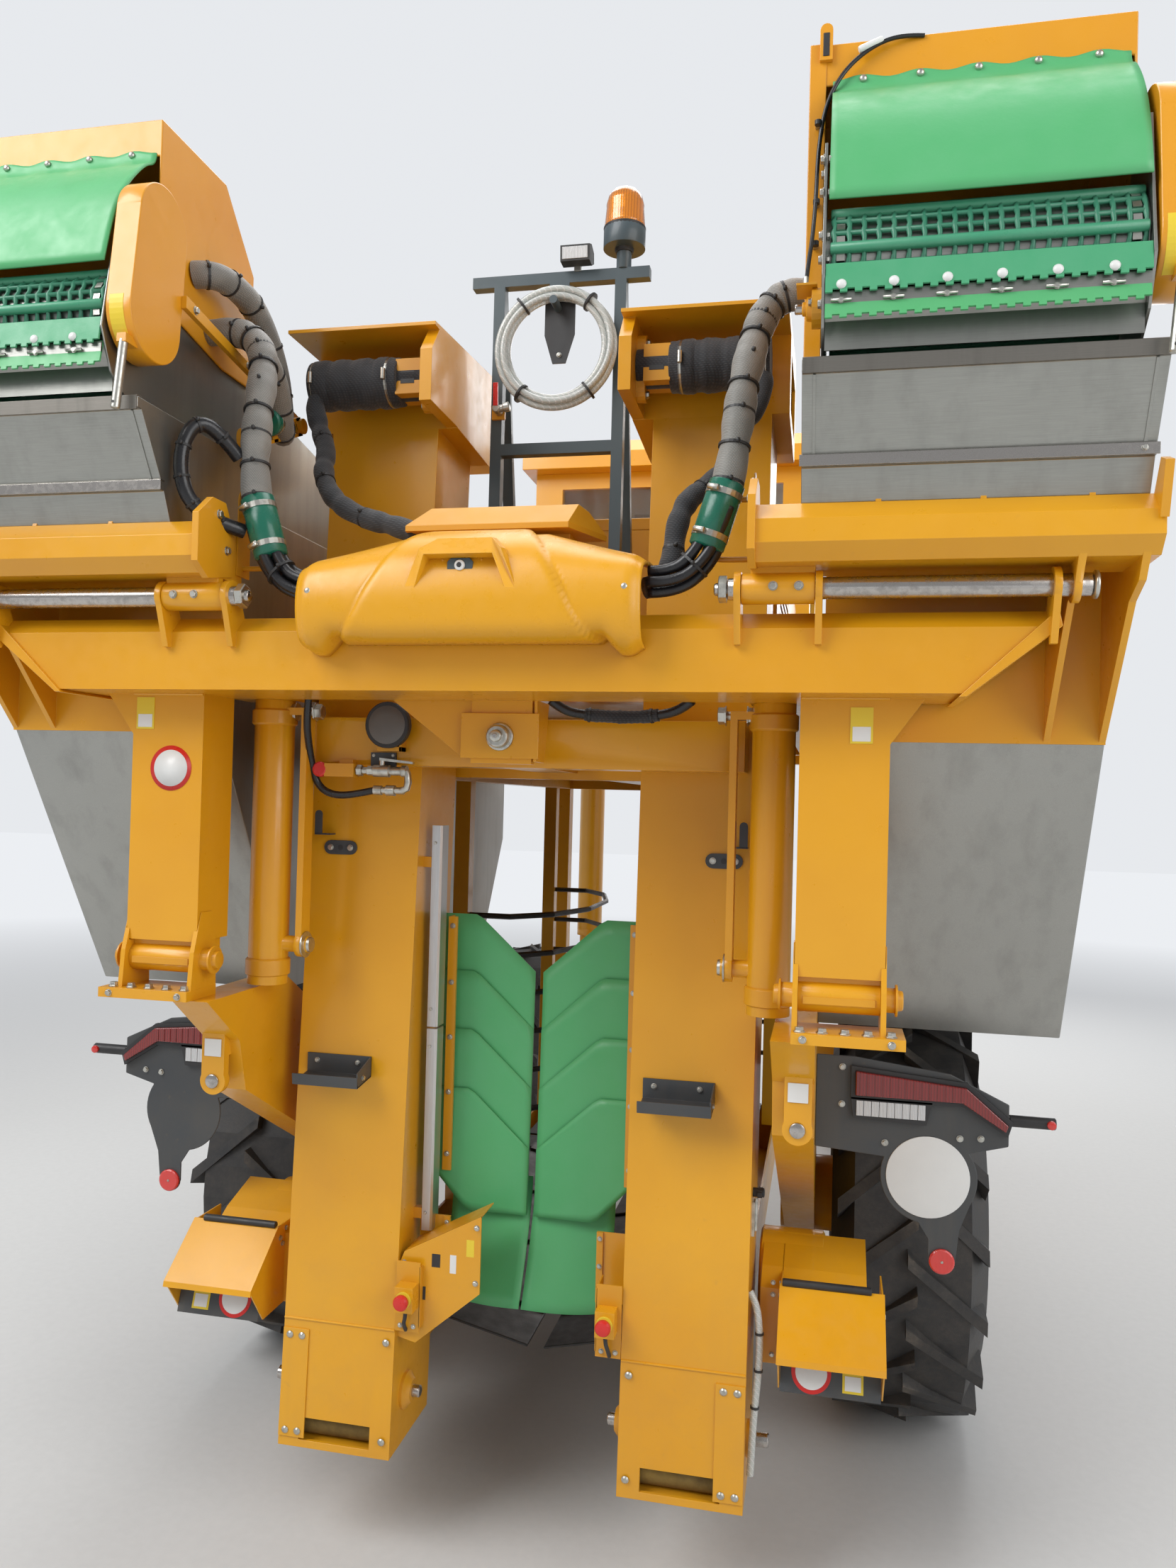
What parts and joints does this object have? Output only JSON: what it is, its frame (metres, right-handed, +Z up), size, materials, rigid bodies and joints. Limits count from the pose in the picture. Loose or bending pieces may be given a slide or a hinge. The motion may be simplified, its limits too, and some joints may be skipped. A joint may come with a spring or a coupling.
{
  "type": "self-propelled grape harvester",
  "caption": "Self-propelled straddle grape harvester with leaning elevators, tipping bins with sorting belts, cab and four wheels on legs",
  "frame": {"origin": "on the ground under the middle of the machine's overall box", "axes": "+Y forward, +X right seen from behind, +Z up"},
  "size_m": [2.93, 5.6799, 3.9303],
  "materials": {
    "machine_yellow": "semi-gloss enamel",
    "hood_orange": "semi-gloss enamel",
    "stainless": "brushed",
    "cast_yellow": "semi-gloss enamel",
    "belt_green": "matte",
    "flap_green": "matte sheet",
    "black_rubber": "matte",
    "tyre": "matte",
    "shaft_steel": "polished",
    "rack_grey": "satin",
    "bracket_grey": "satin",
    "rod_black": "matte",
    "cover_yellow": "moulded",
    "cab_yellow": "gloss enamel",
    "roof_white": "gloss",
    "glass": "tinted",
    "trim_black": "matte",
    "lamp_red": "gloss",
    "lamp_amber": "gloss",
    "hose_clear": "translucent",
    "hose_sleeve": "woven sleeve",
    "engine_grey": "matte",
    "deck_steel": "tread plate"
  },
  "bodies": {
    "chassis": {"chassis_frame": "machine_yellow", "hinge_shafts": "shaft_steel", "rear_strut_left": "machine_yellow", "rear_strut_right": "machine_yellow", "lift_cylinders": "machine_yellow", "cab_body": "cab_yellow", "cab_glass": "glass", "cab_interior": "trim_black", "cab_roof": "roof_white", "access_platform": "deck_steel", "engine_hood": "cab_yellow", "engine_block": "engine_grey", "rear_cover": "cover_yellow", "hose_rack": "rack_grey", "beacon": "lamp_amber", "rinse_hose": "hose_clear", "lamp_brackets": "bracket_grey", "tail_lamps": "lamp_red", "harness_left": "hose_sleeve", "harness_right": "hose_sleeve"},
    "harvest_head": {"head_frame": "machine_yellow", "elevator_left": "machine_yellow", "elevator_right": "machine_yellow", "elevator_motors": "black_rubber", "collecting_plates": "black_rubber", "tunnel_flaps": "flap_green", "picking_rods": "rod_black", "fan_housings": "machine_yellow"},
    "cab_door": {"cab_door": "trim_black", "door_glass": "glass"},
    "engine_lid": {"engine_lid": "cab_yellow"},
    "bin_left": {"bin_shell_left": "stainless", "bin_trough_left": "stainless", "bin_frame_left": "machine_yellow", "sorter_sides_left": "stainless", "sorter_belt_left": "belt_green", "sorter_hood_left": "hood_orange", "sorter_flap_left": "flap_green", "sorter_guard_left": "hood_orange"},
    "fan_left": {"fan_rotor_left": "cast_yellow"},
    "rear_wheel_left": {"rear_tyre_left": "tyre", "rear_rim_left": "machine_yellow"},
    "steering_left": {"front_knuckle_left": "machine_yellow"},
    "front_wheel_left": {"front_tyre_left": "tyre", "front_rim_left": "machine_yellow"},
    "bin_right": {"bin_shell_right": "stainless", "bin_trough_right": "stainless", "bin_frame_right": "machine_yellow", "sorter_sides_right": "stainless", "sorter_belt_right": "belt_green", "sorter_hood_right": "hood_orange", "sorter_flap_right": "flap_green", "sorter_guard_right": "hood_orange"},
    "fan_right": {"fan_rotor_right": "cast_yellow"},
    "rear_wheel_right": {"rear_tyre_right": "tyre", "rear_rim_right": "machine_yellow"},
    "steering_right": {"front_knuckle_right": "machine_yellow"},
    "front_wheel_right": {"front_tyre_right": "tyre", "front_rim_right": "machine_yellow"}
  },
  "joints": [
    {"name": "head_swing", "type": "hinge", "parent": "chassis", "child": "harvest_head", "pos_m": [0, -1, 2.25], "axis": [0, 1, 0], "range_deg": [-2, 2]},
    {"name": "door_hinge", "type": "hinge", "parent": "chassis", "child": "cab_door", "pos_m": [-0.714, 0.944, 3.1], "axis": [0, 0, 1], "range_deg": [0, 85]},
    {"name": "lid_hinge", "type": "hinge", "parent": "chassis", "child": "engine_lid", "pos_m": [0, 0.47, 3], "axis": [-1, 0, 0], "range_deg": [0, 60]},
    {"name": "bin_tip_left", "type": "hinge", "parent": "chassis", "child": "bin_left", "pos_m": [-1, -2.6, 2.575], "axis": [1, 0, 0], "range_deg": [0, 80], "deforming": ["harness_left"]},
    {"name": "fan_spin_left", "type": "hinge", "parent": "harvest_head", "child": "fan_left", "pos_m": [-0.745, -1.775, 0.75], "axis": [1, 0, 0], "continuous": true},
    {"name": "rear_roll_left", "type": "hinge", "parent": "chassis", "child": "rear_wheel_left", "pos_m": [-1.095, -0.85, 0.7], "axis": [1, 0, 0], "continuous": true},
    {"name": "steer_left", "type": "hinge", "parent": "chassis", "child": "steering_left", "pos_m": [-0.72, 2.27, 0.57], "axis": [0, 0, 1], "range_deg": [-60, 60]},
    {"name": "front_roll_left", "type": "hinge", "parent": "steering_left", "child": "front_wheel_left", "pos_m": [-1.095, 2.27, 0.57], "axis": [1, 0, 0], "continuous": true},
    {"name": "bin_tip_right", "type": "hinge", "parent": "chassis", "child": "bin_right", "pos_m": [1, -2.6, 2.575], "axis": [1, 0, 0], "range_deg": [0, 80], "deforming": ["harness_right"]},
    {"name": "fan_spin_right", "type": "hinge", "parent": "harvest_head", "child": "fan_right", "pos_m": [0.745, -1.775, 0.75], "axis": [1, 0, 0], "continuous": true},
    {"name": "rear_roll_right", "type": "hinge", "parent": "chassis", "child": "rear_wheel_right", "pos_m": [1.095, -0.85, 0.7], "axis": [1, 0, 0], "continuous": true},
    {"name": "steer_right", "type": "hinge", "parent": "chassis", "child": "steering_right", "pos_m": [0.72, 2.27, 0.57], "axis": [0, 0, 1], "range_deg": [-60, 60]},
    {"name": "front_roll_right", "type": "hinge", "parent": "steering_right", "child": "front_wheel_right", "pos_m": [1.095, 2.27, 0.57], "axis": [1, 0, 0], "continuous": true}
  ],
  "couplings": [
    {"joint": "steer_left", "follows": "steer_right", "ratio": 1}
  ]
}
